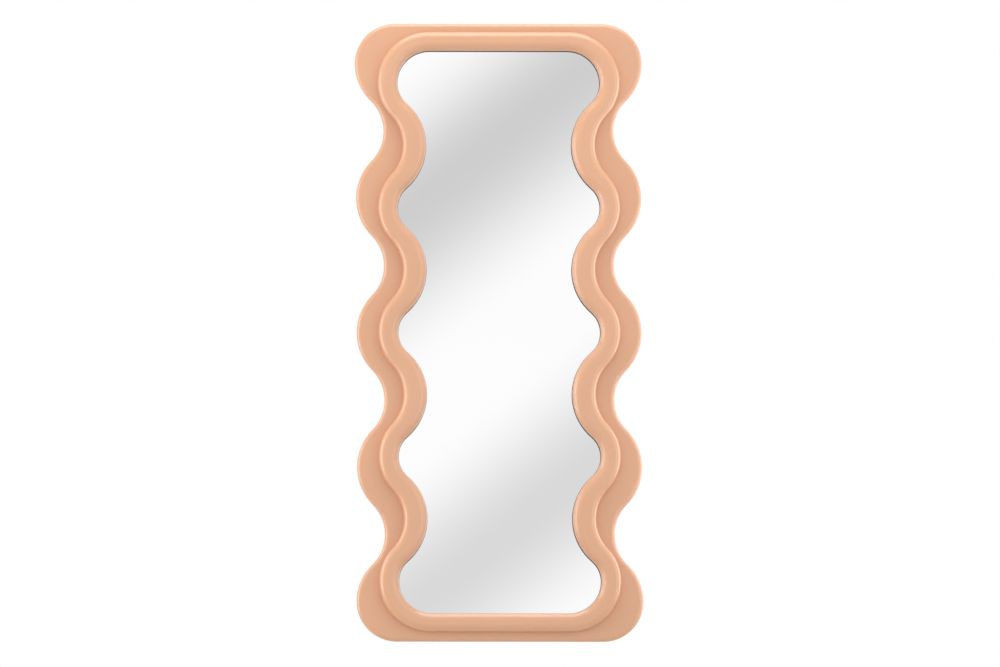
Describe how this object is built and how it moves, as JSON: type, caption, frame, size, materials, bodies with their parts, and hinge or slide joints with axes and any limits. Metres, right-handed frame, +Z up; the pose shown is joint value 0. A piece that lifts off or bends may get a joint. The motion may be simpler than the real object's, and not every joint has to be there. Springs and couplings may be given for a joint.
{
  "type": "wall mirror",
  "caption": "Tall wall mirror in a wavy two-tier frame: flat lacquered base tier, raised rounded ring, wavy glass, backing board and strap hangers.",
  "frame": {"origin": "on the wall plane, behind the centre of the mirror", "axes": "+Z up, +Y into the wall, +X to the viewer's right; the mirror faces -Y"},
  "size_m": [0.763, 0.058, 1.65],
  "materials": {
    "lacquer": "satin lacquer on fibreboard",
    "mirror": "silvered float glass",
    "beech": "bare, fluted",
    "hardboard": "bare hardboard",
    "film": "woven safety film",
    "foam": "closed-cell foam",
    "rubber": "matt",
    "screw_steel": "zinc plated",
    "hanger_steel": "zinc plated"
  },
  "bodies": {
    "frame": {"base_stile_left": "lacquer", "base_stile_right": "lacquer", "base_rail_top": "lacquer", "base_rail_bottom": "lacquer", "ring_stile_left": "lacquer", "ring_stile_right": "lacquer", "ring_rail_top": "lacquer", "ring_rail_bottom": "lacquer", "base_dowels": "beech", "ring_dowels": "beech", "tier_screws": "screw_steel", "glazing_strip": "rubber", "mirror_glass": "mirror", "safety_film": "film", "foam_sheet": "foam", "setting_blocks": "rubber", "backing_board": "hardboard", "backing_screws": "screw_steel", "hanger_strap_left": "hanger_steel", "hanger_strap_right": "hanger_steel", "hanger_screws": "screw_steel", "wall_bumpers": "rubber"},
    "loop_left": {"hanger_loop_left": "hanger_steel"},
    "loop_right": {"hanger_loop_right": "hanger_steel"}
  },
  "joints": [
    {"name": "loop_left_swing", "type": "hinge", "parent": "frame", "child": "loop_left", "pos_m": [-0.241, -0.0059, 0.52487], "axis": [1, 0, 0], "range_deg": [0, 180]},
    {"name": "loop_right_swing", "type": "hinge", "parent": "frame", "child": "loop_right", "pos_m": [0.241, -0.0059, 0.52487], "axis": [1, 0, 0], "range_deg": [0, 180]}
  ]
}
